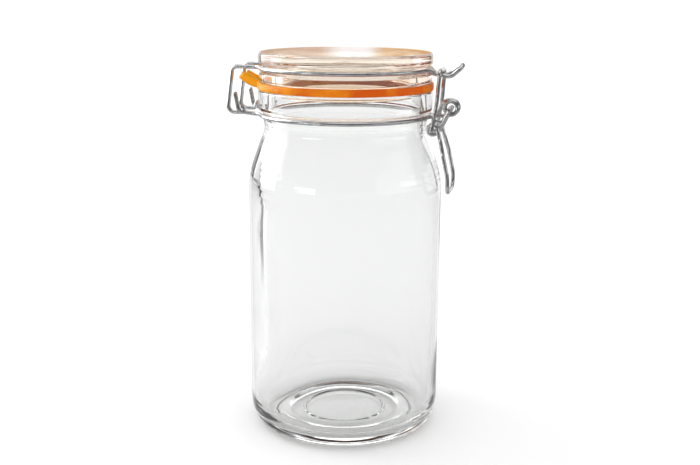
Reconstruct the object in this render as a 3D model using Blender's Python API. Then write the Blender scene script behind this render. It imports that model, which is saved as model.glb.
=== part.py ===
"""Clip-top glass storage jar, closed and empty, about 1.5 litres.

Metres, +Z up. The jar's axis is the Z axis and it stands on Z = 0. The clasp is at +X and the
hinge at -X. Lengths in the constants below are in millimetres and turned to metres by mm().
"""

import math

import bpy
import bmesh
from mathutils import Matrix, Vector

# Sizes, in millimetres
BODY_R = 55.0
COLLAR_R = 48.9
RIM_Z = 195.5
MOUTH_R = 42.4
WALL = 4.0
LID_R = 48.95
LID_TOP_Z = 216.2
LID_UNDER_Z = 199.5
PLUG_R = 38.9
GASKET_R = 49.5
GASKET_IN_R = 41.6
GASKET_Z = (195.8, 199.2)
WIRE_R = 1.15
FINE_WIRE_R = 1.1

NECK_WIRE = {"ring_r": 48.2, "z": 181.5}
LID_WIRE = {"ring_r": 48.0, "z": 207.3}
HINGE = (-55.9, 185.2)
LEG_Y = 11.0
HOOK_Y = 13.8
REACH_X = 65.6
NOSE_Y = 3.4
NOSE_TWIST = 0.9

PIVOT = (60.0, 186.7)
COIL_R = 3.7
COIL_Y = 3.2
COIL_TURNS = 2.5
LOOP = (50.9, 175.1)
LOOP_R = 2.85
BAR = (54.4, 207.2)
HANDLE_Y = 12.0
HANDLE_Z = 140.6

# Facets
GLASS_STEPS = 56
RING_STEP_DEG = 7.5


def mm(*values):
    return tuple(v / 1000.0 for v in values)


def clear_scene():
    for item in list(bpy.data.objects):
        bpy.data.objects.remove(item, do_unlink=True)


def surface(name, colour, roughness, metallic=0.0, transmission=0.0, ior=1.5):
    material = bpy.data.materials.new(name)
    material.use_nodes = True
    shader = material.node_tree.nodes["Principled BSDF"]
    shader.inputs["Base Color"].default_value = (*colour, 1.0)
    shader.inputs["Roughness"].default_value = roughness
    shader.inputs["Metallic"].default_value = metallic
    shader.inputs["Transmission Weight"].default_value = transmission
    shader.inputs["IOR"].default_value = ior
    material.diffuse_color = (*colour, 1.0)
    return material


def turned(name, profile, pivot, material, steps=GLASS_STEPS):
    """A solid of revolution about Z. The profile is a list of (radius, z): from axis to axis,
    or a loop that never touches the axis. The object's origin is at pivot."""
    closed = profile[0][0] > 1e-6
    mesh = bpy.data.meshes.new(name)
    work = bmesh.new()
    rings = []
    for radius, z in profile:
        if radius < 1e-6:
            rings.append([work.verts.new(mm(-pivot[0], 0.0, z - pivot[1]))])
            continue
        ring = []
        for k in range(steps):
            turn = 2.0 * math.pi * k / steps
            ring.append(work.verts.new(mm(
                radius * math.cos(turn) - pivot[0], radius * math.sin(turn), z - pivot[1])))
        rings.append(ring)
    pairs = list(zip(rings, rings[1:]))
    if closed:
        pairs.append((rings[-1], rings[0]))
    for upper, lower in pairs:
        for k in range(steps):
            n = (k + 1) % steps
            if len(upper) == 1:
                work.faces.new((upper[0], lower[k], lower[n]))
            elif len(lower) == 1:
                work.faces.new((upper[k], lower[0], upper[n]))
            else:
                work.faces.new((upper[k], lower[k], lower[n], upper[n]))
    bmesh.ops.recalc_face_normals(work, faces=work.faces)
    work.to_mesh(mesh)
    work.free()
    mesh.shade_smooth()
    mesh.materials.append(material)
    made = bpy.data.objects.new(name, mesh)
    made.location = mm(pivot[0], 0.0, pivot[1])
    bpy.context.scene.collection.objects.link(made)
    return made


def rounded(points, radii, step_deg=22.0):
    """A polyline with each inner corner turned into an arc of its radius, or of as large a
    radius as its two legs leave room for."""
    points = [Vector(p) for p in points]
    path = [points[0]]
    for k in range(1, len(points) - 1):
        before, here, after = points[k - 1], points[k], points[k + 1]
        u, v = (before - here), (after - here)
        room = 0.49 * min(u.length, v.length)
        u.normalize()
        v.normalize()
        turn = math.pi - u.angle(v)
        if turn < 0.02:
            path.append(here)
            continue
        cut = min(radii[k - 1] * math.tan(turn / 2.0), room)
        radius = cut / math.tan(turn / 2.0)
        start, end = here + u * cut, here + v * cut
        centre = here + (u + v).normalized() * (radius / math.cos(turn / 2.0))
        count = max(2, math.ceil(math.degrees(turn) / step_deg))
        axis = (start - centre).cross(end - centre).normalized()
        for i in range(count + 1):
            swing = Matrix.Rotation(turn * i / count, 3, axis)
            path.append(centre + swing @ (start - centre))
    path.append(points[-1])
    return path


def ring_arc(radius, z, start_deg, end_deg):
    """Points of a level arc about the jar's axis."""
    count = max(2, round(abs(end_deg - start_deg) / RING_STEP_DEG))
    turns = [math.radians(start_deg + (end_deg - start_deg) * i / count) for i in range(count + 1)]
    return [Vector((radius * math.cos(t), radius * math.sin(t), z)) for t in turns]


def offshoot(ring_r, line_y, bend_r, side):
    """Where a wire leaves a ring about the jar's axis for a line along X at -line_y, through a
    bend. side is +1 at the clasp, -1 at the hinge. Gives the bend's centre, its two tangent
    points in plan, and the ring angle that it starts from."""
    across = -(line_y + bend_r)
    along = side * math.sqrt((ring_r + bend_r) ** 2 - across ** 2)
    centre = Vector((along, across))
    on_ring = centre * (ring_r / (ring_r + bend_r))
    on_line = Vector((along, -line_y))
    angle = math.degrees(math.atan2(on_ring.y, on_ring.x)) % 360.0
    return centre, on_ring, on_line, angle


def bend_points(centre, start, end, z_start, z_end, count=4):
    """Points of the short arc from start to end about centre, in plan, with z eased between."""
    a = math.atan2(start.y - centre.y, start.x - centre.x)
    b = math.atan2(end.y - centre.y, end.x - centre.x)
    while b - a > math.pi:
        b -= 2.0 * math.pi
    while a - b > math.pi:
        b += 2.0 * math.pi
    radius = (start - centre).length
    points = []
    for i in range(count + 1):
        t = i / count
        turn = a + (b - a) * t
        ease = t * t * (3.0 - 2.0 * t)
        points.append(Vector((
            centre.x + radius * math.cos(turn),
            centre.y + radius * math.sin(turn),
            z_start + (z_end - z_start) * ease)))
    return points


def mirrored(path):
    """The same path on the far side of the jar, run the other way."""
    return [Vector((p.x, -p.y, p.z)) for p in reversed(path)]


def thinned(path, least=0.35):
    """The path without points that lie closer together than least."""
    kept = [path[0]]
    for p in path[1:-1]:
        if (p - kept[-1]).length > least:
            kept.append(p)
    if (path[-1] - kept[-1]).length <= least:
        kept.pop()
    kept.append(path[-1])
    return kept


def wire(name, path, radius, pivot, material):
    """A round wire along a path, with its origin at pivot, (x, z)."""
    curve = bpy.data.curves.new(name, "CURVE")
    curve.dimensions = "3D"
    curve.bevel_depth = radius / 1000.0
    curve.bevel_resolution = 2
    curve.resolution_u = 1
    curve.render_resolution_u = 0
    curve.use_fill_caps = True
    curve.twist_mode = "MINIMUM"
    path = thinned(path)
    spline = curve.splines.new("POLY")
    spline.points.add(len(path) - 1)
    for target, p in zip(spline.points, path):
        target.co = (*mm(p.x - pivot[0], p.y, p.z - pivot[1]), 1.0)
    spline.use_smooth = True
    curve.materials.append(material)
    made = bpy.data.objects.new(name, curve)
    made.location = mm(pivot[0], 0.0, pivot[1])
    bpy.context.scene.collection.objects.link(made)
    return made


def jar_profile():
    """The jar's section, from the middle of the underside, up the outside, over the rim and
    down the inside to the middle of the floor."""
    under = [(0.0, 2.6), (20.0, 2.2), (38.6, 1.3), (40.2, 0.3), (41.4, 0.0), (46.2, 0.0)]
    foot = [(47.6, 0.3), (49.9, 1.4), (52.1, 3.6), (53.8, 6.8), (54.7, 10.4), (BODY_R, 14.0)]
    body = [(BODY_R, 137.5), (54.75, 144.8), (53.5, 150.9), (51.6, 156.6), (50.0, 161.0)]
    neck = [(48.2, 166.2), (46.5, 170.2), (45.6, 173.4), (45.7, 176.2), (46.4, 179.2)]
    groove = [(46.7, 180.3), (46.7, 182.7), (47.3, 183.5), (COLLAR_R, 184.0)]
    rim = [(COLLAR_R, 194.6), (48.3, 195.3), (47.5, RIM_Z), (43.6, RIM_Z), (42.8, 195.2)]
    inside = [(MOUTH_R, 194.3), (MOUTH_R, 184.0), (41.6, 177.0), (42.0, 171.5), (44.2, 166.0)]
    inner = BODY_R - WALL
    inside += [(46.8, 159.0), (48.9, 152.5), (50.4, 145.8), (inner, 138.0), (inner, 16.0)]
    floor = [(50.3, 11.6), (48.2, 8.2), (44.9, 6.3), (25.2, 6.1), (24.2, 6.7), (23.4, 6.7)]
    floor += [(22.4, 6.0), (0.0, 6.1)]
    return under + foot + body + neck + groove + rim + inside + floor


def lid_profile():
    """The lid's section, from the middle of the top, down the outside, under the sealing face,
    round the lip that sits in the mouth and up the hollow below the top."""
    top = [(0.0, LID_TOP_Z), (47.1, LID_TOP_Z), (48.4, 215.8), (LID_R, 214.7)]
    flange = [(LID_R, 210.5), (48.4, 209.9), (46.9, 209.4), (46.5, 208.8)]
    groove = [(46.5, 205.9), (46.9, 205.3), (48.0, 204.9), (48.4, 204.3)]
    face = [(48.4, 200.1), (47.8, LID_UNDER_Z), (40.4, LID_UNDER_Z), (39.5, 198.8)]
    lip = [(PLUG_R, 192.7), (38.1, 191.8), (37.2, 191.8), (36.5, 192.7)]
    hollow = [(36.2, 205.8), (35.0, 209.6), (31.8, 211.2), (0.0, 211.6)]
    return top + flange + groove + face + lip + hollow


def gasket_profile():
    low, high = GASKET_Z
    outside = [(GASKET_R - 0.5, high), (GASKET_R, high - 0.6), (GASKET_R, low + 0.6)]
    inside = [(GASKET_R - 0.5, low), (GASKET_IN_R, low), (GASKET_IN_R, high)]
    return outside + inside


def pull_tab(name):
    """The tab that the rubber ring is pulled off by, curled up a little at its end."""
    low, high = GASKET_Z
    spine = [(-45.0, 197.5), (-50.0, 197.6), (-54.0, 198.9), (-57.2, 200.7), (-59.8, 202.2)]
    half_t = (high - low) / 2.0 - 0.06
    widths = [7.6, 7.4, 6.4, 6.2, 5.4]
    mesh = bpy.data.meshes.new(name)
    work = bmesh.new()
    rows = []
    for k, ((x, z), half_w) in enumerate(zip(spine, widths)):
        ahead = spine[min(k + 1, len(spine) - 1)]
        behind = spine[max(k - 1, 0)]
        run = Vector((ahead[0] - behind[0], ahead[1] - behind[1])).normalized()
        up = Vector((run.y, -run.x))
        row = []
        for side, level in ((-1, -1), (1, -1), (1, 1), (-1, 1)):
            row.append(work.verts.new(mm(
                x + up.x * level * half_t - HINGE[0],
                side * half_w,
                z + up.y * level * half_t - HINGE[1])))
        rows.append(row)
    for a, b in zip(rows, rows[1:]):
        for i in range(4):
            j = (i + 1) % 4
            work.faces.new((a[i], a[j], b[j], b[i]))
    work.faces.new(rows[0])
    work.faces.new(list(reversed(rows[-1])))
    bmesh.ops.recalc_face_normals(work, faces=work.faces)
    work.to_mesh(mesh)
    work.free()
    made = bpy.data.objects.new(name, mesh)
    made.location = mm(HINGE[0], 0.0, HINGE[1])
    made.hide_render = True
    made.display_type = "WIRE"
    bpy.context.scene.collection.objects.link(made)
    return made


def make_gasket():
    rubber = surface("orange_rubber", (0.86, 0.27, 0.02), 0.42)
    ring = turned("gasket_ring", gasket_profile(), HINGE, rubber)
    tab = pull_tab("gasket_tab_tool")
    union = ring.modifiers.new("tab", "BOOLEAN")
    union.operation = "UNION"
    union.solver = "EXACT"
    union.object = tab
    return ring


def neck_wire_path():
    """From the end hooked up at the hinge, round the neck's groove on the near side, through
    the coil at the clasp and back round the far side."""
    ring_r, z = NECK_WIRE["ring_r"], NECK_WIRE["z"]
    centre, on_ring, on_line, start = offshoot(ring_r, HOOK_Y, 5.0, -1)
    hook = rounded(
        [(-60.6, -HOOK_Y, 193.4), (-58.5, -HOOK_Y, 182.5), (on_line.x, -HOOK_Y, z)], [2.9])
    path = hook[:-1] + bend_points(centre, on_line, on_ring, z, z)
    centre, on_ring, on_line, end = offshoot(ring_r, COIL_Y, 4.0, 1)
    path += ring_arc(ring_r, z, start, end)[1:-1]
    path += bend_points(centre, on_ring, on_line, z, z + 0.4)
    count = round(COIL_TURNS * 14)
    for i in range(count + 1):
        turn = -0.5 * math.pi + 2.0 * math.pi * COIL_TURNS * i / count
        path.append(Vector((
            PIVOT[0] + COIL_R * math.cos(turn),
            -COIL_Y + 2.0 * COIL_Y * i / count,
            PIVOT[1] + COIL_R * math.sin(turn))))
    top = PIVOT[1] + COIL_R
    path += rounded(
        [(PIVOT[0], COIL_Y, top), (56.4, COIL_Y, top), (51.9, COIL_Y, 182.6),
         (on_ring.x + 0.4, -on_ring.y - 0.7, z)], [2.6, 2.2])[1:]
    far = [Vector((p.x, -p.y, p.z)) for p in reversed(ring_arc(ring_r, z, start, end))]
    path += far
    centre, on_ring, on_line, start = offshoot(ring_r, HOOK_Y, 5.0, -1)
    path += mirrored(hook[:-1] + bend_points(centre, on_line, on_ring, z, z))[1:]
    return path


def lid_wire_path():
    """From the hinge pin, up the leg, round the lid's groove, out along the nose that the link
    hooks over, and back the same way on the far side."""
    ring_r, z = LID_WIRE["ring_r"], LID_WIRE["z"]
    x, low = HINGE
    centre, on_ring, on_line, start = offshoot(ring_r, LEG_Y, 5.0, -1)
    leg = rounded(
        [(x, -15.6, low), (x, -LEG_Y, low), (-57.0, -LEG_Y, 181.7), (-REACH_X - 0.5, -LEG_Y, 181.7),
         (-62.8, -LEG_Y, z), (on_line.x, -LEG_Y, z)], [1.4, 1.6, 3.6, 2.8])
    near = leg[:-1] + bend_points(centre, on_line, on_ring, z, z)
    centre, on_ring, on_line, end = offshoot(ring_r, NOSE_Y, 5.0, 1)
    near += ring_arc(ring_r, z, start, end)[1:-1]
    near += bend_points(centre, on_ring, on_line, z, 204.9)
    y = NOSE_Y
    nose = rounded(
        [near[-1], (58.6, -y, 203.9), (REACH_X, -y, 209.8), (REACH_X, y, 209.8), (58.6, y, 203.9),
         (near[-1].x, y, near[-1].z)], [7.0, 3.2, 3.2, 7.0])
    for p in nose:
        share = min(max((p.x - 55.4) / 5.0, 0.0), 1.0)
        p.z += NOSE_TWIST * share * p.y / y
    return near[:-1] + nose + mirrored(near[:-1])


def lever_path():
    """From the end in the coil, down the arm, once round the loop beside the link's end, and
    down the handle; then up the other side."""
    loop_x, loop_z = LOOP
    arm = Vector((loop_x - PIVOT[0], loop_z - PIVOT[1])).normalized()
    first = math.atan2(-arm.x, arm.y)
    first = math.atan2(arm.x, -arm.y) if math.cos(first) < 0 else first
    tangent = (loop_x + LOOP_R * math.cos(first), loop_z + LOOP_R * math.sin(first))
    near = rounded(
        [(PIVOT[0], -0.9, PIVOT[1]), (PIVOT[0], -5.9, PIVOT[1]), (tangent[0], -6.1, tangent[1])],
        [1.5])
    last = math.radians(12.0 - 360.0)
    count = 15
    for i in range(1, count + 1):
        turn = first + (last - first) * i / count
        near.append(Vector((
            loop_x + LOOP_R * math.cos(turn),
            -6.1 - 2.7 * i / count,
            loop_z + LOOP_R * math.sin(turn))))
    y = HANDLE_Y
    handle = rounded(
        [near[-1], (55.4, -9.2, 169.6), (57.6, -y, 161.5), (60.4, -y, 149.0), (60.4, -y, HANDLE_Z),
         (60.4, y, HANDLE_Z), (60.4, y, 149.0)], [9.0, 12.0, 20.0, 7.5, 7.5])
    half = [p for p in handle if p.y < -1e-6][1:]
    return near + half + mirrored(near + half)


def link_path():
    x, z = BAR
    near = [(50.7, -11.6, 173.9), (53.4, -10.7, 191.0), (x, -10.0, z)]
    far = [(p[0], -p[1], p[2]) for p in reversed(near)]
    return rounded(near + far, [60.0, 2.8, 2.8, 60.0])


def main():
    clear_scene()
    glass = surface("jar_clear_glass", (0.94, 0.97, 0.96), 0.02, transmission=1.0, ior=1.51)
    lid_clear = surface("lid_clear_glass", (0.95, 0.97, 0.96), 0.02, transmission=1.0, ior=1.51)
    turned("jar_glass", jar_profile(), (0.0, 0.0), glass)
    turned("lid_glass", lid_profile(), HINGE, lid_clear)
    make_gasket()
    zinc = (0.60, 0.61, 0.62)
    wire("neck_wire", neck_wire_path(), WIRE_R, (0.0, 0.0),
         surface("neck_wire_zinc", zinc, 0.3, metallic=1.0))
    wire("lid_wire", lid_wire_path(), WIRE_R, HINGE,
         surface("lid_wire_zinc", zinc, 0.28, metallic=1.0))
    wire("latch_lever", lever_path(), WIRE_R, PIVOT,
         surface("latch_lever_zinc", zinc, 0.3, metallic=1.0))
    wire("latch_link", link_path(), FINE_WIRE_R, BAR,
         surface("latch_link_zinc", zinc, 0.3, metallic=1.0))


main()
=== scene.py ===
"""Looks of a clip-top glass storage jar: clear pressed glass, an orange rubber seal and a clip of
zinc-plated wire, on a pale floor in soft studio light.

Metres, +Z up. The jar's axis is the Z axis, the clasp is at +X and the hinge at -X. The section
and path tables below are in millimetres.
"""

import math

import bmesh
import bpy
from bpy.props import FloatProperty, FloatVectorProperty, IntProperty, PointerProperty
from mathutils import Matrix, Vector


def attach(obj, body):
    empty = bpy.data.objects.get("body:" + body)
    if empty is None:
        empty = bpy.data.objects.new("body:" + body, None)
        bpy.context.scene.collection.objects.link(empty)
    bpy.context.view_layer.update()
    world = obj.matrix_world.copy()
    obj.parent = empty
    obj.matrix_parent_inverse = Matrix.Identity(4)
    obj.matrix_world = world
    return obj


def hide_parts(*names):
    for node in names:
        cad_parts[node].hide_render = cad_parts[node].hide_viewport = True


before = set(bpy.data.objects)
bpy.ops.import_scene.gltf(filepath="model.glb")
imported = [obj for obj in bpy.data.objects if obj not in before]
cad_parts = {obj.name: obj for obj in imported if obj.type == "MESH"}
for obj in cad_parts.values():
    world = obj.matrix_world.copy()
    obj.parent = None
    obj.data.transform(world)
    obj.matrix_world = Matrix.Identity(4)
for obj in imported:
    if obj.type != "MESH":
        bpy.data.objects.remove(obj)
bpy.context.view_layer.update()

bl_info = {
    "name": "Clip-top storage jar",
    "version": (1, 0, 0),
    "blender": (4, 5, 0),
    "location": "3D View > Sidebar > Storage Jar",
    "description": "Builds the glass, seal and wire clip of a clip-top storage jar",
    "category": "Add Mesh",
}

MM = 0.001

# Sections, (radius, height) of each corner
JAR_OUTSIDE = [
    (0.0, 2.6), (20.0, 2.3), (38.6, 1.3), (40.2, 0.3), (41.4, 0.0), (46.2, 0.0), (47.6, 0.3),
    (49.9, 1.4), (52.1, 3.6), (53.8, 6.8), (54.7, 10.4), (55.0, 14.0), (55.0, 137.5),
    (54.75, 144.8), (53.5, 150.9), (51.6, 156.6), (50.0, 161.0), (48.2, 166.2), (46.5, 170.2),
    (45.6, 173.4), (45.7, 176.2), (46.4, 179.2), (46.7, 180.3), (46.7, 182.7), (47.3, 183.5),
    (48.9, 184.0), (48.9, 194.6), (48.3, 195.3), (47.5, 195.5), (43.6, 195.5), (42.8, 195.2),
]
JAR_INSIDE = [
    (42.4, 194.3), (42.4, 184.0), (41.6, 177.0), (42.0, 171.5), (44.2, 166.0), (46.8, 159.0),
    (48.9, 152.5), (50.4, 145.8), (51.0, 138.0), (51.0, 16.0), (50.3, 11.6), (48.2, 8.2),
    (45.2, 6.4), (38.6, 6.3), (36.4, 7.1), (33.2, 7.2), (30.6, 6.3), (25.4, 6.1), (24.2, 6.7),
    (23.4, 6.7), (22.4, 6.0), (0.0, 6.1),
]
LID_SECTION = [
    (0.0, 216.2), (47.1, 216.2), (48.4, 215.8), (48.95, 214.7), (48.95, 210.5), (48.4, 209.9),
    (46.9, 209.4), (46.5, 208.8), (46.5, 205.9), (46.9, 205.3), (48.0, 204.9), (48.4, 204.3),
    (48.4, 200.1), (47.8, 199.5), (40.4, 199.5), (39.5, 198.8), (38.9, 192.7), (38.1, 191.8),
    (37.2, 191.8), (36.5, 192.7), (36.2, 205.8), (35.0, 209.6), (31.8, 211.2), (0.0, 211.6),
]

# The wall came out thicker on one side and thinner across from it: the heavy side, from and to
# which height, how soon it grows at either end, and the radius of the rail that turns a section
HEAVY_SIDE = (-0.974, -0.225, 0.0)
HEAVY_Z = (14.0, 170.0)
HEAVY_EASE = (40.0, 46.0)
RAIL_R = 50.0

# The seal: its ring, the radius and faces of its rounded edges, and the tab's outline and the
# start, radius and most degrees of its curl
SEAL_R = (41.6, 49.5)
SEAL_Z = (195.45, 199.55)
SEAL_EDGE, EDGE_STEPS, FLAT_STEPS, RING_STEPS = 0.8, 6, 5, 240
TAB_OUTLINE = [(-48.6, 7.4), (-52.0, 7.2), (-56.0, 6.7), (-59.2, 6.3), (-61.3, 4.9), (-61.9, 0.0)]
TAB_BEND = (-47.5, 15.0, 31.0)

# The wires: pivots and rings as (x or radius, z), and where each wire stands across the jar
HINGE = (-55.9, 185.2)
PIVOT = (60.0, 186.7)
NECK_RING = (48.2, 181.5)
LID_RING = (48.0, 207.3)
LEG_Y, HOOK_Y, NOSE_Y, COIL_Y, ARM_Y, HANDLE_Y = 11.0, 13.8, 3.4, 3.2, 6.1, 12.0
HOOK_BEND, COIL_BEND = 5.0, 4.0
REACH_X = 65.6
NOSE_TWIST = 0.9
COIL_R, COIL_TURNS = 3.7, 2.5
LOOP, LOOP_R = (50.9, 175.1), 2.85
LINK_BAR = (54.4, 207.2)
HANDLE_Z = 140.6

# The studio as the glass and the wires see it. Soft windows: from and to azimuth, from and to
# elevation, softness, in degrees, and brightness. Azimuth 0 is behind the jar, and + is right.
REFLECTED = [
    (-34.0, 34.0, -105.0, -1.0, 4.0, 0.62),
    (-34.0, 34.0, -4.0, 30.0, 4.0, 1.0),
    (-92.0, -34.0, -3.0, 50.0, 5.0, 5.0),
    (-200.0, 200.0, 50.0, 105.0, 12.0, 1.2),
    (90.0, 200.0, -105.0, -8.0, 8.0, 0.34),
    (-200.0, -90.0, -105.0, -8.0, 8.0, 0.5),
    (30.0, 96.0, -105.0, -6.0, 6.0, 0.3),
    (-96.0, -30.0, -105.0, -6.0, 6.0, 0.26),
    (-146.0, -118.0, 7.0, 14.0, 2.0, 9.0),
    (82.0, 146.0, 2.0, 30.0, 6.0, 0.8),
    (86.0, 114.0, 5.0, 18.0, 4.0, 1.2),
]
BEHIND = [
    (-200.0, 200.0, -105.0, 10.0, 5.0, 1.0),
    (-200.0, -50.0, 5.0, 42.0, 5.0, 0.5),
    (90.0, 200.0, 5.0, 42.0, 5.0, 0.5),
    (-50.0, 45.0, 5.0, 42.0, 5.0, 1.0),
    (-92.0, -34.0, -3.0, 50.0, 5.0, 1.6),
    (-30.0, 30.0, 12.0, 36.0, 6.0, 1.0),
]
# Cards behind the jar, at a distance in metres from its axis: from and to azimuth and softness in
# degrees, low and high edge and softness in metres, brightness of each colour, and the rays that
# see them. Seen through the glass, they give the bore its dark edges. The warm ones are mirrored
# in the lid's top.
CARD_DISTANCE, CARD_STEPS = 0.28, 16
CARDS = {
    "dark_card_left": (-50.0, -38.0, 2.5, 0.0, 0.14, 0.05, (0.04, 0.04, 0.04), "transmission"),
    "grey_card_left": (-39.0, -20.0, 3.0, 0.03, 0.14, 0.025, (0.60, 0.60, 0.60), "transmission"),
    "dark_card_right": (17.0, 32.0, 3.0, 0.02, 0.14, 0.03, (0.12, 0.12, 0.12), "transmission"),
    "warm_card_left": (-19.0, 0.0, 5.0, 0.21, 0.27, 0.006, (0.72, 0.54, 0.42), "glossy"),
    "warm_card_right": (3.0, 19.0, 4.0, 0.21, 0.27, 0.006, (0.82, 0.55, 0.30), "glossy"),
}
# The two shells of windows: radius in metres, brightness between the windows, windows, and the
# rays that see the shell
ROOMS = {
    "room_reflected": (3.0, 0.14, REFLECTED, "glossy"),
    "room_behind": (3.2, 0.2, BEHIND, "transmission"),
}
# In metres: half the floor's width and its height, and the key light's place, aim and width
FLOOR_REACH, FLOOR_Z = 15.0, -0.0001
KEY_FROM, KEY_AT, KEY_SIZE = (-0.95, 0.35, 1.15), (0.0, 0.0, 0.08), 0.7
# The camera's lens in millimetres, and its pitch below level, yaw and roll in degrees
LENS, PITCH, YAW, ROLL = 53.4744, 13.391, -0.2937, 0.3548
LIGHT_BOUNCES, MIRROR_BOUNCES = 28, 9


# ---------------------------------------------------------------------------------------------
# Settings


class GlassSettings(bpy.types.PropertyGroup):
    """Sizes and colour of the clear glass"""

    steps: IntProperty(
        name="Steps Round", description="Faces round the jar and the lid", default=224, min=48)
    wave_inside: FloatProperty(
        name="Inside Waviness", description="Height of the slow waves on the inner wall",
        default=0.00022, unit="LENGTH", precision=5)
    wave_outside: FloatProperty(
        name="Outside Waviness", description="Height of the slow waves on the moulded outside",
        default=0.00003, unit="LENGTH", precision=5)
    heavy_side: FloatProperty(
        name="Heavy Side", description="How much thicker the jar's wall is on its heavy side",
        default=0.0031, unit="LENGTH", precision=5)
    thin_side: FloatProperty(
        name="Thin Side", description="How much thinner the wall is across from the heavy side",
        default=0.0012, unit="LENGTH", precision=5)
    tint: FloatVectorProperty(
        name="Glass Tint", description="Colour that one wall of glass lets through",
        subtype="COLOR", size=3, default=(0.895, 0.9, 0.897), min=0.0, max=1.0)
    # The lid's warmth is painted light: it stands for the seal's orange light carried up through
    # the lid, over the faint grey of the glass itself.
    lid_tint_and_seal_glow: FloatVectorProperty(
        name="Lid Tint", description="Colour that the lid lets through, warm from the seal",
        subtype="COLOR", size=3, default=(0.91, 0.80, 0.69), min=0.0, max=1.0)


class SealSettings(bpy.types.PropertyGroup):
    """Colours of the rubber seal"""

    colour: FloatVectorProperty(
        name="Rubber", description="Main colour of the rubber", subtype="COLOR", size=3,
        default=(0.57, 0.088, 0.0), min=0.0, max=1.0)
    # Also the colour of the painted light on the seal's side towards the key light.
    bloom_and_lit_side_colour: FloatVectorProperty(
        name="Rubber, Light", description="Colour of the paler bloom on the rubber",
        subtype="COLOR", size=3, default=(0.93, 0.40, 0.008), min=0.0, max=1.0)


class WireSettings(bpy.types.PropertyGroup):
    """Sizes and colour of the clip's wires"""

    radius: FloatProperty(
        name="Wire Radius", description="Half the thickness of the bail and lever wires",
        default=0.00115, unit="LENGTH", precision=5)
    link_radius: FloatProperty(
        name="Link Radius", description="Half the thickness of the link's wire",
        default=0.0011, unit="LENGTH", precision=5)
    sides: IntProperty(
        name="Wire Sides", description="Faces round each wire", default=16, min=6)
    spacing: FloatProperty(
        name="Wire Step", description="Length of one face along a wire", default=0.0005,
        unit="LENGTH", precision=5)
    colour: FloatVectorProperty(
        name="Zinc", description="Colour of the zinc plating", subtype="COLOR", size=3,
        default=(0.70, 0.705, 0.71), min=0.0, max=1.0)


class StudioSettings(bpy.types.PropertyGroup):
    """Floor, lights and camera"""

    floor_colour: FloatVectorProperty(
        name="Floor", description="Colour of the pale floor", subtype="COLOR", size=3,
        default=(0.945, 0.945, 0.945), min=0.0, max=1.0)
    far_floor_colour: FloatVectorProperty(
        name="Far Floor", description="Colour of the floor where it sweeps away behind the jar",
        subtype="COLOR", size=3, default=(0.955, 0.955, 0.955), min=0.0, max=1.0)
    dome: FloatProperty(
        name="Dome Strength", description="Brightness of the even light from all round",
        default=1.13, min=0.0)
    key: FloatProperty(
        name="Key Power", description="Power of the large soft light at the upper left",
        default=2.6, unit="POWER")
    azimuth: FloatProperty(
        name="Camera Azimuth", description="Turn of the camera round the jar",
        default=math.radians(13.0), unit="ROTATION")
    distance: FloatProperty(
        name="Camera Distance", description="Level distance from the jar's axis",
        default=0.5873, unit="LENGTH")
    height: FloatProperty(
        name="Camera Height", description="Height of the camera above the floor",
        default=0.2522, unit="LENGTH")


# ---------------------------------------------------------------------------------------------
# Sections and paths, in millimetres


def rounded(points, radii=None, room=0.49, step_deg=6.0):
    """A polyline with each inner corner turned into an arc of its radius, or of as large a
    radius as leaves room for: the share of its shorter leg that the arc may take."""
    points = [Vector(p).to_3d() for p in points]
    path = [points[0]]
    for k in range(1, len(points) - 1):
        here = points[k]
        u, v = points[k - 1] - here, points[k + 1] - here
        cut = room * min(u.length, v.length)
        u.normalize()
        v.normalize()
        turn = math.pi - u.angle(v)
        if turn < 0.01:
            path.append(here)
            continue
        if radii:
            cut = min(radii[k - 1] * math.tan(turn / 2.0), cut)
        radius = cut / math.tan(turn / 2.0)
        start, end = here + u * cut, here + v * cut
        centre = here + (u + v).normalized() * (radius / math.cos(turn / 2.0))
        axis = (start - centre).cross(end - centre).normalized()
        count = max(2, math.ceil(math.degrees(turn) / step_deg))
        path += [centre + Matrix.Rotation(turn * i / count, 3, axis) @ (start - centre)
                 for i in range(count + 1)]
    path.append(points[-1])
    return path


def evened(path, longest=4.0, guard=0.3):
    """The same line with long straights cut up, and a short step beside each of their ends so
    that the shading of a bend stays in the bend."""
    dense = [path[0]]
    for a, b in zip(path, path[1:]):
        run = (b - a).length
        if run < 1e-4:
            continue
        marks = []
        if run > 4.0 * guard:
            count = max(1, math.ceil((run - 2.0 * guard) / longest))
            marks = [guard + (run - 2.0 * guard) * i / count for i in range(count + 1)]
        dense += [a + (b - a) * (m / run) for m in marks]
        dense.append(b)
    return dense


def ring_arc(radius, z, start_deg, end_deg):
    """Points of a level arc about the jar's axis."""
    count = max(2, round(abs(end_deg - start_deg) / 2.0))
    turns = [math.radians(start_deg + (end_deg - start_deg) * i / count) for i in range(count + 1)]
    return [Vector((radius * math.cos(t), radius * math.sin(t), z)) for t in turns]


def offshoot(ring_r, line_y, bend_r, side):
    """Where a wire leaves a ring about the jar's axis for a line along X at -line_y, through a
    bend: the bend's centre, its two tangent points in plan, and the ring angle it starts from."""
    across = -(line_y + bend_r)
    along = side * math.sqrt((ring_r + bend_r) ** 2 - across ** 2)
    centre = Vector((along, across))
    on_ring = centre * (ring_r / (ring_r + bend_r))
    angle = math.degrees(math.atan2(on_ring.y, on_ring.x)) % 360.0
    return centre, on_ring, Vector((along, -line_y)), angle


def bend_points(centre, start, end, z_start, z_end, count=12):
    """The short arc from start to end about centre, in plan, with z eased between."""
    a = math.atan2(start.y - centre.y, start.x - centre.x)
    b = math.atan2(end.y - centre.y, end.x - centre.x)
    b += 2.0 * math.pi * round((a - b) / (2.0 * math.pi))
    radius = (start - centre).length
    points = []
    for i in range(count + 1):
        t = i / count
        turn = a + (b - a) * t
        ease = t * t * (3.0 - 2.0 * t)
        points.append(Vector((
            centre.x + radius * math.cos(turn),
            centre.y + radius * math.sin(turn),
            z_start + (z_end - z_start) * ease)))
    return points


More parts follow.
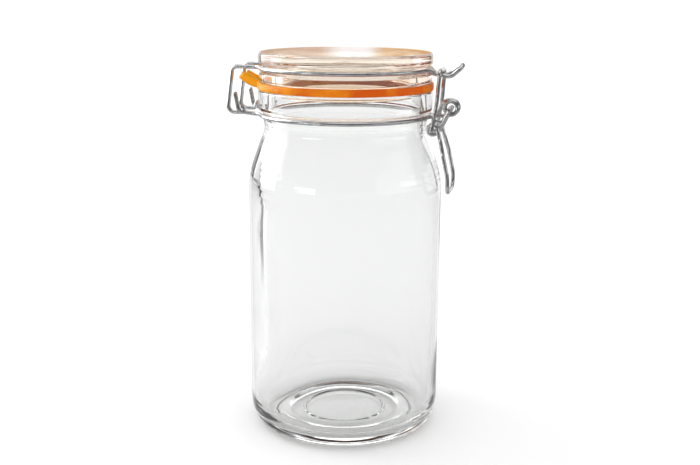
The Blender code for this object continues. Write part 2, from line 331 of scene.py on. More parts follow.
def mirrored(path):
    """The same path on the far side of the jar, run the other way."""
    return [Vector((p.x, -p.y, p.z)) for p in reversed(path)]


def neck_wire_path():
    """From the end hooked up at the hinge, round the neck's groove on the near side, through
    the coil at the clasp and back round the far side."""
    ring_r, z = NECK_RING
    centre, on_ring, on_line, start = offshoot(ring_r, HOOK_Y, HOOK_BEND, -1)
    hook = rounded(
        [(-60.6, -HOOK_Y, 193.4), (-58.5, -HOOK_Y, 182.5), (on_line.x, -HOOK_Y, z)], [2.9])
    path = hook[:-1] + bend_points(centre, on_line, on_ring, z, z)
    centre, on_ring, on_line, end = offshoot(ring_r, COIL_Y, COIL_BEND, 1)
    path += ring_arc(ring_r, z, start, end)[1:-1]
    path += bend_points(centre, on_ring, on_line, z, z + 0.4)
    count = round(COIL_TURNS * 48)
    for i in range(count + 1):
        turn = -0.5 * math.pi + 2.0 * math.pi * COIL_TURNS * i / count
        path.append(Vector((
            PIVOT[0] + COIL_R * math.cos(turn),
            -COIL_Y + 2.0 * COIL_Y * i / count,
            PIVOT[1] + COIL_R * math.sin(turn))))
    top = PIVOT[1] + COIL_R
    path += rounded(
        [(PIVOT[0], COIL_Y, top), (56.4, COIL_Y, top), (51.9, COIL_Y, 182.6),
         (on_ring.x + 0.4, -on_ring.y - 0.7, z)], [2.6, 2.2])[1:]
    path += mirrored(ring_arc(ring_r, z, start, end))
    centre, on_ring, on_line, start = offshoot(ring_r, HOOK_Y, HOOK_BEND, -1)
    return path + mirrored(hook[:-1] + bend_points(centre, on_line, on_ring, z, z))[1:]


def lid_wire_path():
    """From the hinge pin, up the leg, round the lid's groove, out along the nose that the link
    hooks over, and back the same way on the far side."""
    ring_r, z = LID_RING
    x, low = HINGE
    centre, on_ring, on_line, start = offshoot(ring_r, LEG_Y, HOOK_BEND, -1)
    leg = rounded(
        [(x, -15.6, low), (x, -LEG_Y, low), (-57.0, -LEG_Y, 181.7),
         (-REACH_X - 0.5, -LEG_Y, 181.7), (-62.8, -LEG_Y, z), (on_line.x, -LEG_Y, z)],
        [1.4, 1.6, 3.6, 2.8])
    near = leg[:-1] + bend_points(centre, on_line, on_ring, z, z)
    centre, on_ring, on_line, end = offshoot(ring_r, NOSE_Y, HOOK_BEND, 1)
    near += ring_arc(ring_r, z, start, end)[1:-1]
    near += bend_points(centre, on_ring, on_line, z, 204.9)
    y = NOSE_Y
    nose = rounded(
        [near[-1], (58.6, -y, 203.9), (REACH_X, -y, 209.8), (REACH_X, y, 209.8), (58.6, y, 203.9),
         (near[-1].x, y, near[-1].z)], [7.0, 3.2, 3.2, 7.0])
    for p in nose:
        p.z += NOSE_TWIST * min(max((p.x - 55.4) / 5.0, 0.0), 1.0) * p.y / y
    return near[:-1] + nose + mirrored(near[:-1])


def lever_path():
    """From the end in the coil, down the arm, once round the loop beside the link's end, and
    down the handle; then up the other side."""
    loop_x, loop_z = LOOP
    arm = Vector((loop_x - PIVOT[0], loop_z - PIVOT[1])).normalized()
    first, last = math.atan2(arm.x, -arm.y), math.radians(12.0 - 360.0)
    near = rounded(
        [(PIVOT[0], -0.9, PIVOT[1]), (PIVOT[0], -5.9, PIVOT[1]),
         (loop_x + LOOP_R * math.cos(first), -ARM_Y, loop_z + LOOP_R * math.sin(first))], [1.5])
    count = 48
    for i in range(1, count + 1):
        turn = first + (last - first) * i / count
        near.append(Vector((
            loop_x + LOOP_R * math.cos(turn), -ARM_Y - 2.7 * i / count,
            loop_z + LOOP_R * math.sin(turn))))
    y = HANDLE_Y
    handle = rounded(
        [near[-1], (55.4, -9.2, 169.6), (57.6, -y, 161.5), (60.4, -y, 149.0), (60.4, -y, HANDLE_Z),
         (60.4, y, HANDLE_Z), (60.4, y, 149.0)], [9.0, 12.0, 20.0, 7.5, 7.5])
    half = [p for p in handle if p.y < -1e-6][1:]
    return near + half + mirrored(near + half)


def link_path():
    """Up one side of the link, over its bar and down the other side."""
    x, z = LINK_BAR
    near = [(50.7, -11.6, 173.9), (53.4, -10.7, 191.0), (x, -10.0, z)]
    far = [(p[0], -p[1], p[2]) for p in reversed(near)]
    return rounded(near + far, [60.0, 2.8, 2.8, 60.0])


# ---------------------------------------------------------------------------------------------
# Node trees


def fill(tree, node, values):
    """Gives the node's inputs, by name or number, their values. An output socket is linked."""
    for name, value in values.items():
        socket = node.inputs[name]
        if isinstance(value, bpy.types.NodeSocket):
            tree.links.new(value, socket)
        else:
            socket.default_value = value


def linked(tree, kind, values=None, **settings):
    """A node of that kind in the tree, with its inputs filled."""
    node = tree.nodes.new(kind)
    for name, value in settings.items():
        setattr(node, name, value)
    fill(tree, node, values or {})
    return node


def result(tree, operation, a, b=None):
    """What a Math node makes of a and b."""
    values = {0: a} if b is None else {0: a, 1: b}
    return linked(tree, "ShaderNodeMath", values, operation=operation).outputs[0]


def vector_result(tree, operation, a, b=None):
    """What a Vector Math node makes of a and b."""
    values = {0: a}
    if b is not None:
        values["Scale" if operation == "SCALE" else 1] = b
    node = linked(tree, "ShaderNodeVectorMath", values, operation=operation)
    return node.outputs["Value" if operation in ("DOT_PRODUCT", "LENGTH") else "Vector"]


def ranged(tree, value, start, end, low=0.0, high=1.0, smooth=False):
    """The value's run from start to end, spread over low to high."""
    return linked(tree, "ShaderNodeMapRange", {
        "Value": value, "From Min": start, "From Max": end, "To Min": low, "To Max": high},
        interpolation_type="SMOOTHSTEP" if smooth else "LINEAR").outputs[0]


def noise(tree, place, scale, detail, roughness=0.5):
    """Cloudy noise at a place."""
    return linked(tree, "ShaderNodeTexNoise", {
        "Vector": place, "Scale": scale, "Detail": detail, "Roughness": roughness}).outputs[0]


def ramp(tree, value, ends, colours):
    """A colour ramp over the value, from the first colour to the second."""
    made = linked(tree, "ShaderNodeValToRGB", {"Fac": value})
    for element, end, colour in zip(made.color_ramp.elements, ends, colours):
        element.position, element.color = end, (*colour, 1.0)
    return made.outputs[0]


def apart(tree, vector):
    """The X, Y and Z of a vector."""
    return linked(tree, "ShaderNodeSeparateXYZ", {"Vector": vector}).outputs


def geometry_tree(name, inputs):
    """An empty geometry tree with named inputs, (name, socket type, default)."""
    tree = bpy.data.node_groups.new(name, "GeometryNodeTree")
    tree.interface.new_socket("Geometry", in_out="INPUT", socket_type="NodeSocketGeometry")
    for label, kind, default in inputs:
        made = tree.interface.new_socket(label, in_out="INPUT", socket_type=f"NodeSocket{kind}")
        if default is not None:
            made.default_value = default
    tree.interface.new_socket("Geometry", in_out="OUTPUT", socket_type="NodeSocketGeometry")
    return tree, linked(tree, "NodeGroupInput").outputs


def close_tree(tree, geometry, material):
    """Ends a geometry tree: shaded smooth, instances made real, and the material set."""
    smooth = linked(tree, "GeometryNodeSetShadeSmooth", {"Geometry": geometry})
    real = linked(tree, "GeometryNodeRealizeInstances", {"Geometry": smooth.outputs[0]})
    done = linked(tree, "GeometryNodeSetMaterial", {
        "Geometry": real.outputs[0], "Material": material})
    linked(tree, "NodeGroupOutput", {"Geometry": done.outputs[0]})
    return tree


def turned_glass_tree():
    """A section turned about Z. Slow waves run over its walls, most of them inside, as on glass
    that was pressed in a mould. The inner wall stands further in on the heavy side."""
    tree, given = geometry_tree("Turned Glass", [
        ("Steps", "Int", 224),
        ("Rail Radius", "Float", 0.05),
        ("Inside Waves", "Float", 0.0001),
        ("Outside Waves", "Float", 0.00003),
        ("Wave Width", "Float", 0.028),
        ("Wave Length", "Float", 0.07),
        ("Seed", "Float", 3.0),
        ("Heavy Side", "Vector", (-1.0, 0.0, 0.0)),
        ("Heavy Side Extra", "Float", 0.0),
        ("Thin Side Less", "Float", 0.0),
        ("Heavy From", "Float", 0.02),
        ("Heavy To", "Float", 0.15),
        ("Material", "Material", None),
    ])
    section = linked(tree, "GeometryNodeMeshToCurve", {"Mesh": given["Geometry"]})
    rail = linked(tree, "GeometryNodeCurvePrimitiveCircle",
                  {"Resolution": given["Steps"], "Radius": given["Rail Radius"]})
    swept = linked(tree, "GeometryNodeCurveToMesh",
                   {"Curve": rail.outputs["Curve"], "Profile Curve": section.outputs[0]})
    outward_faces = linked(tree, "GeometryNodeFlipFaces", {"Mesh": swept.outputs[0]})
    closed = linked(tree, "GeometryNodeMergeByDistance",
                    {"Geometry": outward_faces.outputs[0], "Distance": 0.000005})

    place = linked(tree, "GeometryNodeInputPosition").outputs[0]
    normal = linked(tree, "GeometryNodeInputNormal").outputs[0]
    parts = apart(tree, place)
    level = linked(tree, "ShaderNodeCombineXYZ", {"X": parts["X"], "Y": parts["Y"]}).outputs[0]
    outward = vector_result(tree, "NORMALIZE", level)
    facing = vector_result(tree, "DOT_PRODUCT", outward, normal)

    depth = ranged(tree, facing, -0.1, -0.8, given["Outside Waves"], given["Inside Waves"])
    across = result(tree, "DIVIDE", 1.0, given["Wave Width"])
    along = result(tree, "DIVIDE", 1.0, given["Wave Length"])
    scale = linked(tree, "ShaderNodeCombineXYZ", {"X": across, "Y": across, "Z": along})
    waves = linked(tree, "ShaderNodeTexNoise", {
        "Vector": vector_result(tree, "MULTIPLY", place, scale.outputs[0]), "W": given["Seed"],
        "Scale": 1.0, "Detail": 1.0, "Roughness": 0.35}, noise_dimensions="4D").outputs[0]
    height = result(tree, "MULTIPLY", result(tree, "SUBTRACT", waves, 0.5), depth)

    low, high = given["Heavy From"], given["Heavy To"]
    low_end = result(tree, "ADD", low, HEAVY_EASE[0] * MM)
    high_end = result(tree, "SUBTRACT", high, HEAVY_EASE[1] * MM)
    shares = (ranged(tree, parts["Z"], low, low_end, smooth=True),
              ranged(tree, parts["Z"], high, high_end, smooth=True),
              ranged(tree, facing, -0.1, -0.6))
    towards = vector_result(tree, "DOT_PRODUCT", outward, given["Heavy Side"])
    lobes = []
    for sign, amount in ((1.0, "Heavy Side Extra"), (-1.0, "Thin Side Less")):
        near = result(tree, "MAXIMUM", result(tree, "MULTIPLY", towards, sign), 0.0)
        lobes.append(result(tree, "MULTIPLY", result(tree, "POWER", near, 2.0), given[amount]))
    moved = result(tree, "SUBTRACT", lobes[1], lobes[0])
    for share in shares:
        moved = result(tree, "MULTIPLY", moved, share)
    offset = vector_result(tree, "ADD", vector_result(tree, "SCALE", outward, moved),
                           vector_result(tree, "SCALE", normal, height))
    wavy = linked(tree, "GeometryNodeSetPosition",
                  {"Geometry": closed.outputs[0], "Offset": offset})
    return close_tree(tree, wavy.outputs[0], given["Material"])


def captured(tree, geometry, kind, name, value):
    """The geometry with a value held on it under a name, as a node's outputs."""
    node = tree.nodes.new("GeometryNodeCaptureAttribute")
    node.capture_items.new(kind, name)
    fill(tree, node, {"Geometry": geometry, name: value})
    return node.outputs


def drawn_wire_tree():
    """A round wire along a path, with its two ends broken off a little narrower, and the run of
    the drawn wire kept as an attribute for its material."""
    tree, given = geometry_tree("Drawn Wire", [
        ("Radius", "Float", 0.00115),
        ("Sides", "Int", 16),
        ("Step", "Float", 0.0005),
        ("End Length", "Float", 0.0005),
        ("End Width", "Float", 0.72),
        ("Material", "Material", None),
    ])
    path = linked(tree, "GeometryNodeMeshToCurve", {"Mesh": given["Geometry"]})
    even = linked(tree, "GeometryNodeResampleCurve",
                  {"Curve": path.outputs[0], "Length": given["Step"]}, mode="LENGTH")
    run = linked(tree, "GeometryNodeSplineParameter").outputs["Length"]
    total = linked(tree, "GeometryNodeSplineLength").outputs["Length"]
    to_end = result(tree, "MINIMUM", run, result(tree, "SUBTRACT", total, run))
    width = ranged(tree, to_end, 0.0, given["End Length"], given["End Width"], 1.0)
    circle = linked(tree, "GeometryNodeCurvePrimitiveCircle",
                    {"Resolution": given["Sides"], "Radius": given["Radius"]})
    place = linked(tree, "GeometryNodeInputPosition").outputs[0]
    with_run = captured(tree, even.outputs[0], "FLOAT", "Run", run)
    with_width = captured(tree, with_run["Geometry"], "FLOAT", "Width", width)
    with_skin = captured(tree, circle.outputs["Curve"], "VECTOR", "Skin", place)
    tube = linked(tree, "GeometryNodeCurveToMesh", {
        "Curve": with_width["Geometry"], "Profile Curve": with_skin["Geometry"],
        "Scale": with_width["Width"], "Fill Caps": True})
    skin = apart(tree, with_skin["Skin"])
    grain = linked(tree, "ShaderNodeCombineXYZ", {
        "X": with_run["Run"], "Y": skin["X"], "Z": skin["Y"]})
    stored = linked(tree, "GeometryNodeStoreNamedAttribute", {
        "Geometry": tube.outputs[0], "Name": "drawn_run", "Value": grain.outputs[0]},
        data_type="FLOAT_VECTOR", domain="POINT")
    return close_tree(tree, stored.outputs[0], given["Material"])


def shown(name, mesh):
    """A new object in the scene."""
    made = bpy.data.objects.new(name, mesh)
    bpy.context.scene.collection.objects.link(made)
    return made


def polyline(name, points):
    """An object whose mesh is the line through points, in metres."""
    mesh = bpy.data.meshes.new(name)
    mesh.from_pydata(points, [(i, i + 1) for i in range(len(points) - 1)], [])
    return shown(name, mesh)


def baked(made, tree, values, material):
    """Runs a geometry tree over the object once and keeps the result as its plain mesh."""
    modifier = made.modifiers.new(tree.name, "NODES")
    modifier.node_group = tree
    sockets = {s.name: s.identifier for s in tree.interface.items_tree
               if s.item_type == "SOCKET" and s.in_out == "INPUT"}
    for name, value in values.items():
        modifier[sockets[name]] = value
    modifier[sockets["Material"]] = material
    graph = bpy.context.evaluated_depsgraph_get()
    mesh = bpy.data.meshes.new_from_object(made.evaluated_get(graph), depsgraph=graph)
    made.modifiers.clear()
    line = made.data
    made.data = mesh
    bpy.data.meshes.remove(line)
    mesh.name = made.name
    mesh.materials.clear()
    mesh.materials.append(material)
    return closed_outward(made)


def closed_outward(made):
    """Checks that the object's mesh is closed, and turns it so that its faces point outwards."""
    work = bmesh.new()
    work.from_mesh(made.data)
    if not work.faces or any(not edge.is_manifold for edge in work.edges):
        raise RuntimeError(f"{made.name} isn't one closed surface")
    if work.calc_volume(signed=True) < 0.0:
        bmesh.ops.reverse_faces(work, faces=work.faces)
    work.to_mesh(made.data)
    work.free()
    made.data.shade_smooth()
    return made


def finish_piece(piece, body, node):
    """The piece rides on its body and stands for its CAD node, which it hides."""
    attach(piece, body)
    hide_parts(node)
    return piece


# ---------------------------------------------------------------------------------------------
# Materials


def surface(name):
    """A new node material: the material, its tree, its shader and the object's coordinates."""
    made = bpy.data.materials.new(name)
    made.use_nodes = True
    tree = made.node_tree
    place = linked(tree, "ShaderNodeTexCoord").outputs["Object"]
    return made, tree, tree.nodes["Principled BSDF"], place


def roughened(tree, height, strength, distance):
    """A bump from a height, for a shader's Normal."""
    return linked(tree, "ShaderNodeBump", {
        "Strength": strength, "Distance": distance, "Height": height}).outputs[0]


def glass_finish(name, tint):
    """Clear glass: slow ripples from the mould in its polish, and faint rub marks on the ring
    that it stands on."""
    made, tree, shader, place = surface(name)
    rubbed = ranged(tree, apart(tree, place)["Z"], 0.0, 0.0012, 0.12, 0.0)
    dulled = result(tree, "MULTIPLY", rubbed, noise(tree, place, 900.0, 3.0, 0.6))
    fill(tree, shader, {
        "Base Color": (*tint, 1.0), "IOR": 1.51, "Transmission Weight": 1.0,
        "Roughness": result(tree, "ADD", dulled, 0.004),
        "Normal": roughened(tree, noise(tree, place, 90.0, 2.0, 0.45), 0.12, 0.0002)})
    return made


def rubber_finish(settings):
    """Soft orange rubber, paler in patches, with fine pores and a little light that passes through
    its edges. Painted light makes it paler on the side that faces the key light, and painted shade
    makes it deeper orange on the clasp's side."""
    made, tree, shader, place = surface("orange_rubber_seal")
    bloom = noise(tree, place, 70.0, 4.0, 0.6)
    # Painted light and shade: paler on the -X side, which faces the key light, and deeper orange on
    # the clasp's side.
    paler = ranged(tree, apart(tree, place)["X"], 0.015, -0.055, -0.12, 0.42)
    colour = ramp(tree, result(tree, "ADD", bloom, paler), (0.4, 0.95),
                  (settings.colour, settings.bloom_and_lit_side_colour))
    pores = noise(tree, place, 1400.0, 3.0, 0.7)
    fill(tree, shader, {
        "Base Color": colour, "Roughness": ranged(tree, bloom, 0.3, 0.7, 0.34, 0.48),
        "IOR": 1.5, "Specular IOR Level": 0.12, "Subsurface Weight": 0.35,
        "Subsurface Radius": (1.0, 0.32, 0.08), "Subsurface Scale": 0.0025,
        "Normal": roughened(tree, pores, 0.35, 0.00006)})
    return made


def zinc_finish(settings):
    """Zinc-plated drawn wire: long fine scratches along the wire, and a cloudy plating."""
    made, tree, shader, place = surface("zinc_plated_wire")
    run = linked(tree, "ShaderNodeAttribute", attribute_name="drawn_run").outputs["Vector"]
    drawn = vector_result(tree, "MULTIPLY", run, (120.0, 5000.0, 5000.0))
    scratches = noise(tree, drawn, 1.0, 3.0, 0.55)
    dark = tuple(0.72 * c for c in settings.colour)
    fill(tree, shader, {
        "Base Color": ramp(tree, noise(tree, place, 260.0, 3.0, 0.6), (0.32, 0.62),
                           (dark, settings.colour)),
        "Metallic": 1.0, "Roughness": ranged(tree, scratches, 0.3, 0.7, 0.15, 0.3),
        "Normal": roughened(tree, scratches, 0.3, 0.00003)})
    return made


def mixed_colour(tree, share, first, second):
    """A colour between the first, a socket, and the second."""
    return linked(tree, "ShaderNodeMix", {
        "Factor": share, 6: first, 7: (*second, 1.0)}, data_type="RGBA").outputs[2]


def floor_finish(settings):
    """A smooth pale tabletop with the faintest unevenness in its colour. Painted light makes it a
    little paler round the jar, lifting the shade at its foot, and a soft glow under the jar stands
    for the light that the glass gathers."""
    made, tree, shader, place = surface("pale_floor")
    light = settings.floor_colour
    plain = ramp(tree, noise(tree, place, 3.0, 3.0), (0.0, 1.0),
                 (tuple(0.995 * c for c in light), light))
    away = vector_result(tree, "LENGTH", place)
    # Painted light: the floor is paler near the jar, to lift the shade round and under its foot.
    near = mixed_colour(tree, ranged(tree, away, 0.16, 0.05, smooth=True), plain, (0.99,) * 3)
    far = mixed_colour(tree, ranged(tree, away, 0.4, 3.0, smooth=True), near,
                       settings.far_floor_colour)
    fill(tree, shader, {
        "Base Color": far, "Roughness": 0.9, "Specular IOR Level": 0.1,
        "Emission Color": (1.0, 1.0, 1.0, 1.0),
        "Emission Strength": ranged(tree, away, 0.053, 0.040, 0.0, 0.2, smooth=True)})
    return made


# ---------------------------------------------------------------------------------------------
# Pieces


def turned_piece(name, section, material, waves, uneven=0.0):
    """A piece of turned glass from its section, (radius, height) in millimetres."""
    settings = bpy.context.scene.jar_glass
    rail = RAIL_R * MM
    corners = evened(rounded(section, room=0.495))
    made = polyline(name, [(p.x * MM - rail, -p.y * MM, 0.0) for p in corners])
    tree = bpy.data.node_groups.get("Turned Glass") or turned_glass_tree()
    return baked(made, tree, {
        "Steps": settings.steps, "Rail Radius": rail, "Inside Waves": settings.wave_inside * waves,
        "Outside Waves": settings.wave_outside * waves, "Heavy Side": HEAVY_SIDE,
        "Heavy Side Extra": uneven * settings.heavy_side,
        "Thin Side Less": uneven * settings.thin_side,
        "Heavy From": HEAVY_Z[0] * MM, "Heavy To": HEAVY_Z[1] * MM}, material)


def wire_piece(name, path, radius):
    """A piece of wire along a path in millimetres."""
    settings = bpy.context.scene.jar_wire
    material = bpy.data.materials.get("zinc_plated_wire") or zinc_finish(settings)
    made = polyline(name, [tuple(p * MM) for p in path])
    tree = bpy.data.node_groups.get("Drawn Wire") or drawn_wire_tree()
    return baked(made, tree, {
        "Radius": radius, "Sides": settings.sides, "Step": settings.spacing}, material)


def seal_outline():
    """The seal's outer edge in plan, along the tab's edge and then round the ring."""
    outer = SEAL_R[1]
    root_y = TAB_OUTLINE[0][1]
    foot_x = -math.sqrt(outer ** 2 - root_y ** 2) + 0.4
    near = [(foot_x, -root_y - 1.2)] + [(x, -y) for x, y in TAB_OUTLINE[:-1]]
    far = [(x, -y) for x, y in reversed(near)]
    tab = [p.to_2d() for p in rounded(far + near, room=0.495, step_deg=10.0)]
    reach = math.atan2(-tab[-1].y, -tab[-1].x)
    start, end = math.pi + reach, 3.0 * math.pi - reach
    turns = (start + (end - start) * i / RING_STEPS for i in range(1, RING_STEPS))
    return tab + [Vector((outer * math.cos(a), outer * math.sin(a))) for a in turns]


def bent(x, y, z):
    """Bends the seal's flat plan upwards beyond the ring, where the tab curls."""
    start, radius, most = TAB_BEND
    middle = sum(SEAL_Z) / 2.0
    run = start - x
    if run <= 0.0:
        return Vector((x, y, z))
    turn = min(run / radius, math.radians(most))
    rest = run - radius * turn
    spine_x = start - radius * math.sin(turn) - rest * math.cos(turn)
    spine_z = middle + radius * (1.0 - math.cos(turn)) + rest * math.sin(turn)
    return Vector((spine_x + (z - middle) * math.sin(turn), y,
                   spine_z + (z - middle) * math.cos(turn)))


def seal_edge(turn):
    """How far in from the seal's side its rounded edge stands at a turn, and how high."""
    low, high = SEAL_Z
    middle = high - SEAL_EDGE if turn > 0 else low + SEAL_EDGE
    return SEAL_EDGE * (1.0 - math.cos(turn)), middle + SEAL_EDGE * math.sin(turn)


def seal_mesh(name):
    """The seal: a flat ring with rounded edges whose tab curls up at its end."""
    outline = seal_outline()
    total = len(outline)
    normals = []
    for i in range(total):
        run = (outline[(i + 1) % total] - outline[i - 1]).normalized()
        normals.append(Vector((run.y, -run.x)))
    if sum(n.dot(p) for n, p in zip(normals, outline)) < 0.0:
        normals = [-n for n in normals]
    inner = SEAL_R[0]
    rows = []
    for i in range(EDGE_STEPS + 1):
        inset, z = seal_edge(-0.5 * math.pi + math.pi * i / EDGE_STEPS)
        rows.append(([p - n * inset for p, n in zip(outline, normals)], z))
    top, bottom = ([([p.lerp(p.normalized() * (inner + SEAL_EDGE), i / FLAT_STEPS) for p in row], z)
                    for i in range(1, FLAT_STEPS + 1)] for row, z in (rows[-1], rows[0]))
    rows += top
    for i in range(1, EDGE_STEPS):
        inset, z = seal_edge(0.5 * math.pi - math.pi * i / EDGE_STEPS)
        rows.append(([p.normalized() * (inner + inset) for p in outline], z))
    rows += reversed(bottom)
    work = bmesh.new()
    rings = [[work.verts.new(bent(p.x, p.y, z) * MM) for p in row] for row, z in rows]
    for a, b in zip(rings, rings[1:] + rings[:1]):
        for i in range(total):
            j = (i + 1) % total
            work.faces.new((a[i], a[j], b[j], b[i]))
    bmesh.ops.recalc_face_normals(work, faces=work.faces)
    mesh = bpy.data.meshes.new(name)
    work.to_mesh(mesh)
    work.free()
    return closed_outward(shown(name, mesh))


class JAR_OT_jar_glass(bpy.types.Operator):
    """Build the jar's glass body with its collar, neck groove and base"""

    bl_idname = "storage_jar.jar_glass"
    bl_label = "Jar Glass"

    def execute(self, context):
        material = glass_finish("clear_jar_glass", context.scene.jar_glass.tint)
        piece = turned_piece("clear_jar", JAR_OUTSIDE + JAR_INSIDE, material, 1.0, uneven=1.0)
        finish_piece(piece, "jar", "jar_glass")
        return {"FINISHED"}


class JAR_OT_lid_glass(bpy.types.Operator):
    """Build the glass lid with its wire groove and the lip that sits in the mouth"""

    bl_idname = "storage_jar.lid_glass"
    bl_label = "Lid Glass"

    def execute(self, context):
        # The lid's colour holds the painted warm light of the seal as well as the glass's own grey.
        material = glass_finish("clear_lid_glass", context.scene.jar_glass.lid_tint_and_seal_glow)
        piece = turned_piece("clear_lid", LID_SECTION, material, 0.4)
        finish_piece(piece, "lid", "lid_glass")
        return {"FINISHED"}


class JAR_OT_seal(bpy.types.Operator):
    """Build the rubber seal with its pull tab"""

    bl_idname = "storage_jar.seal"
    bl_label = "Rubber Seal"

    def execute(self, context):
        piece = seal_mesh("rubber_seal")
        piece.data.materials.append(rubber_finish(context.scene.jar_seal))
        finish_piece(piece, "lid", "gasket_ring")
        return {"FINISHED"}


class JAR_OT_bails(bpy.types.Operator):
    """Build the wire round the neck and the wire round the lid, which hinge on each other"""

    bl_idname = "storage_jar.bails"
    bl_label = "Neck and Lid Wires"

    def execute(self, context):
        radius = context.scene.jar_wire.radius
        finish_piece(wire_piece("neck_bail", neck_wire_path(), radius), "jar", "neck_wire")
        finish_piece(wire_piece("lid_bail", lid_wire_path(), radius), "lid", "lid_wire")
        return {"FINISHED"}


class JAR_OT_clip(bpy.types.Operator):
    """Build the clip's lever and the link that it pulls down"""

    bl_idname = "storage_jar.clip"
    bl_label = "Clip Lever and Link"

    def execute(self, context):
        settings = context.scene.jar_wire
        lever = wire_piece("clip_lever", lever_path(), settings.radius)
        finish_piece(lever, "lever", "latch_lever")
        link = wire_piece("clip_link", link_path(), settings.link_radius)
        finish_piece(link, "link", "latch_link")
        return {"FINISHED"}


# ---------------------------------------------------------------------------------------------
# Studio


def staged(name, mesh, material):
    """An object of the stage."""
    mesh.materials.append(material)
    made = shown(name, mesh)
    return made


def seen_only_by(made, rays):
    """Shows an object of the stage to glossy or to transmission rays alone."""
    made.visible_camera = made.visible_diffuse = made.visible_shadow = False
    made.visible_glossy = rays == "glossy"
    made.visible_transmission = rays == "transmission"


def unlit(name):
    """An empty node material: the material, its tree and the object's coordinates."""
    made = bpy.data.materials.new(name)
    made.use_nodes = True
    tree = made.node_tree
    tree.nodes.clear()
    return made, tree, linked(tree, "ShaderNodeTexCoord").outputs["Object"]


def azimuth_of(tree, parts):
    """The azimuth of a place from its parts: 0 straight behind the jar, positive to the right."""
    return result(tree, "ARCTAN2", parts["X"], parts["Y"])


def soft_box(tree, spans, held=None):
    """1 inside all the spans, (value, low, high, softness), and 0 outside. held scales it."""
    for value, low, high, soft in spans:
        for edge, inner in ((low, low + soft), (high, high - soft)):
            side = ranged(tree, value, edge, inner, smooth=True)
            held = side if held is None else result(tree, "MULTIPLY", held, side)
    return held


def windows(tree, place, patches):
    """The sum of soft-edged bright windows, as the tables give them, on a shell about the
    origin."""
    parts = apart(tree, vector_result(tree, "NORMALIZE", place))
    azimuth, elevation = azimuth_of(tree, parts), result(tree, "ARCSINE", parts["Z"])
    total = None
    for patch in patches:
        a_from, a_to, e_from, e_to, soft = (math.radians(angle) for angle in patch[:5])
        held = soft_box(tree, ((azimuth, a_from, a_to, soft), (elevation, e_from, e_to, soft)))
        lit = result(tree, "MULTIPLY", held, patch[5])
        total = lit if total is None else result(tree, "ADD", total, lit)
    return total


def room_shell(name, turn, dome, radius, base, patches, rays):
    """A round shell that stands for the dark studio room and its softboxes. Light that reaches
    the floor through the glass finds the bright dome there instead."""
    mesh = bpy.data.meshes.new(name)
    work = bmesh.new()
    bmesh.ops.create_uvsphere(work, u_segments=48, v_segments=24, radius=radius)
    bmesh.ops.reverse_faces(work, faces=work.faces)
    work.to_mesh(mesh)
    work.free()
    made, tree, place = unlit(name)
    room = result(tree, "ADD", windows(tree, place, patches), base)
    depth = linked(tree, "ShaderNodeLightPath").outputs["Diffuse Depth"]
    strength = linked(tree, "ShaderNodeMix", {
        "Factor": result(tree, "GREATER_THAN", depth, 0.5), "A": room, "B": dome},
        data_type="FLOAT")
    glow = linked(tree, "ShaderNodeEmission", {"Strength": strength.outputs[0]})
    linked(tree, "ShaderNodeOutputMaterial", {"Surface": glow.outputs[0]})
    shell = staged(name, mesh, made)
    shell.matrix_world = turn
    seen_only_by(shell, rays)


def card(name, turn, a_from, a_to, soft, low, high, soft_z, colour, rays):
    """A curved card behind the jar whose edges fade out. Light that has passed through both walls
    of the jar doesn't see it, so it shows in the edges of the glass alone."""
    a_from, a_to, soft = (math.radians(angle) for angle in (a_from, a_to, soft))
    points = []
    for i in range(CARD_STEPS + 1):
        angle = a_from + (a_to - a_from) * i / CARD_STEPS
        across, back = CARD_DISTANCE * math.sin(angle), CARD_DISTANCE * math.cos(angle)
        points += [(across, back, low), (across, back, high)]
    faces = [(2 * i, 2 * i + 2, 2 * i + 3, 2 * i + 1) for i in range(CARD_STEPS)]
    mesh = bpy.data.meshes.new(name)
    mesh.from_pydata(points, [], faces)
    made, tree, place = unlit(name)
    parts = apart(tree, place)
    path = linked(tree, "ShaderNodeLightPath").outputs
    held = result(tree, "MULTIPLY", result(tree, "LESS_THAN", path["Diffuse Depth"], 0.5),
                  result(tree, "LESS_THAN", path["Transmission Depth"], 2.5))
    held = soft_box(tree, ((azimuth_of(tree, parts), a_from, a_to, soft),
                           (parts["Z"], low, high, soft_z)), held)
    paint = linked(tree, "ShaderNodeEmission", {"Color": (*colour, 1.0)})
    mixed = linked(tree, "ShaderNodeMixShader", {
        0: held, 1: linked(tree, "ShaderNodeBsdfTransparent").outputs[0], 2: paint.outputs[0]})
    linked(tree, "ShaderNodeOutputMaterial", {"Surface": mixed.outputs[0]})
    made_card = staged(name, mesh, made)
    made_card.matrix_world = turn
    seen_only_by(made_card, rays)


def set_world(strength):
    """An even pale dome, which reflections don't see."""
    world = bpy.data.worlds.new("studio_dome")
    world.use_nodes = True
    back = world.node_tree.nodes["Background"]
    back.inputs["Color"].default_value = (1.0, 1.0, 1.0, 1.0)
    back.inputs["Strength"].default_value = strength
    bpy.context.scene.world = world


def aimed(made, target):
    """Turns a light so that it shines at the target."""
    made.rotation_euler = (Vector(target) - made.location).to_track_quat("-Z", "Y").to_euler()


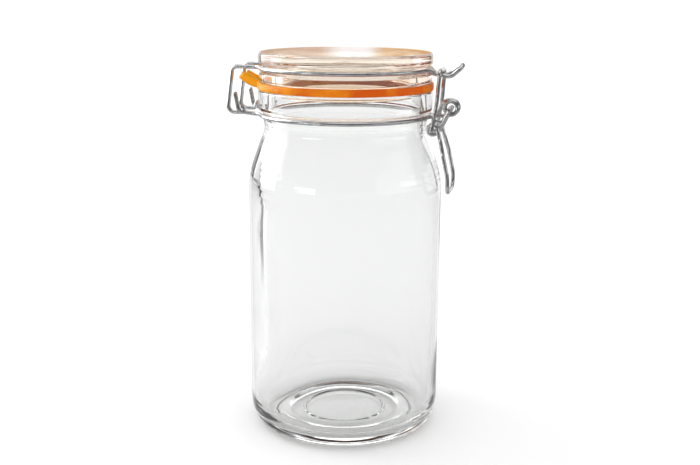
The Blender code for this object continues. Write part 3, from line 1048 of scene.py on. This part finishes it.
class JAR_OT_studio(bpy.types.Operator):
    """Set the pale floor, the soft light and the camera"""

    bl_idname = "storage_jar.studio"
    bl_label = "Studio"

    def execute(self, context):
        scene, settings = context.scene, context.scene.jar_studio
        turn = Matrix.Rotation(settings.azimuth, 4, "Z")
        plane = bpy.data.meshes.new("studio_floor")
        plane.from_pydata([(x * FLOOR_REACH, y * FLOOR_REACH, FLOOR_Z)
                           for x, y in ((-1, -1), (1, -1), (1, 1), (-1, 1))], [], [(0, 1, 2, 3)])
        staged("studio_floor", plane, floor_finish(settings)).visible_glossy = False
        set_world(settings.dome)
        for name, room in ROOMS.items():
            room_shell(name, turn, settings.dome, *room)
        for name, spans in CARDS.items():
            card(name, turn, *spans)

        key = bpy.data.lights.new("key_light", "AREA")
        key.shape, key.size, key.energy = "DISK", KEY_SIZE, settings.key
        key_light = shown("key_light", key)
        key_light.location = turn @ Vector(KEY_FROM)
        aimed(key_light, KEY_AT)

        camera = bpy.data.cameras.new("studio_camera")
        camera.sensor_fit, camera.sensor_width, camera.lens = "HORIZONTAL", 36.0, LENS
        camera.clip_start, camera.clip_end = 0.01, 60.0
        view = shown("studio_camera", camera)
        place = turn @ Vector((0.0, -settings.distance, settings.height))
        view.matrix_world = Matrix.Translation(place) @ (
            Matrix.Rotation(settings.azimuth + math.radians(YAW), 4, "Z")
            @ Matrix.Rotation(math.radians(90.0 - PITCH), 4, "X")
            @ Matrix.Rotation(math.radians(ROLL), 4, "Z"))
        scene.camera = view
        scene.view_settings.view_transform = "Standard"
        scene.cycles.max_bounces = scene.cycles.transmission_bounces = LIGHT_BOUNCES
        scene.cycles.glossy_bounces = MIRROR_BOUNCES
        return {"FINISHED"}


# ---------------------------------------------------------------------------------------------
# Panel and registration


class JAR_PT_panel(bpy.types.Panel):
    """Buttons and settings of the storage jar"""

    bl_idname = "JAR_PT_panel"
    bl_label = "Storage Jar"
    bl_space_type = "VIEW_3D"
    bl_region_type = "UI"
    bl_category = "Storage Jar"

    def draw(self, context):
        layout = self.layout
        for name, group in SETTINGS.items():
            box = layout.box()
            box.label(text=group.__doc__)
            for key in group.__annotations__:
                box.prop(getattr(context.scene, name), key)
        for operator in OPERATORS:
            layout.operator(operator.bl_idname)


SETTINGS = {
    "jar_glass": GlassSettings, "jar_seal": SealSettings, "jar_wire": WireSettings,
    "jar_studio": StudioSettings,
}
OPERATORS = (
    JAR_OT_jar_glass, JAR_OT_lid_glass, JAR_OT_seal, JAR_OT_bails, JAR_OT_clip, JAR_OT_studio)


def register():
    for group in SETTINGS.values():
        bpy.utils.register_class(group)
    for name, group in SETTINGS.items():
        setattr(bpy.types.Scene, name, PointerProperty(type=group))
    for part in (*OPERATORS, JAR_PT_panel):
        bpy.utils.register_class(part)


def unregister():
    for part in reversed((*OPERATORS, JAR_PT_panel)):
        bpy.utils.unregister_class(part)
    for name in SETTINGS:
        delattr(bpy.types.Scene, name)
    for group in reversed(SETTINGS.values()):
        bpy.utils.unregister_class(group)


def main():
    register()
    bpy.ops.storage_jar.studio()
    bpy.ops.storage_jar.jar_glass()
    bpy.ops.storage_jar.lid_glass()
    bpy.ops.storage_jar.seal()
    bpy.ops.storage_jar.bails()
    bpy.ops.storage_jar.clip()


if __name__ == "__main__":
    main()
